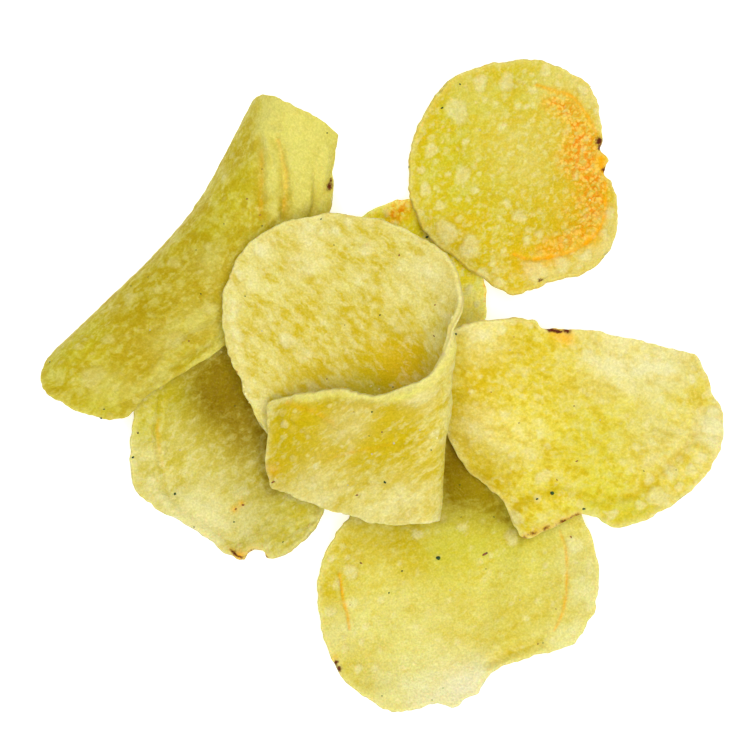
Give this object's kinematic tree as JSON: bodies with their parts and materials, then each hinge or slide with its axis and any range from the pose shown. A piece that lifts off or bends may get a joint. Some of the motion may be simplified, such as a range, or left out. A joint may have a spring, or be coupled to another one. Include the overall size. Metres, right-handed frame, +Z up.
{
  "type": "heap of potato crisps",
  "caption": "Loose heap of thick-cut potato crisps, curled, dished and rolled, lying over one another on a flat surface.",
  "frame": {"origin": "on the surface that the heap lies on, under the middle of the heap's bounding box", "axes": "+Z up, +X to the right and +Y to the back as seen from above with the rolled crisp's open mouth towards the back"},
  "size_m": [0.1414, 0.1349, 0.0273],
  "materials": {
    "fried_potato": "slightly oily satin"
  },
  "bodies": {
    "root": {"crisp_lower_left": "fried_potato", "crisp_front": "fried_potato", "crisp_middle": "fried_potato", "crisp_long": "fried_potato", "crisp_upper_right": "fried_potato", "crisp_right": "fried_potato", "crisp_rolled": "fried_potato"}
  },
  "joints": []
}
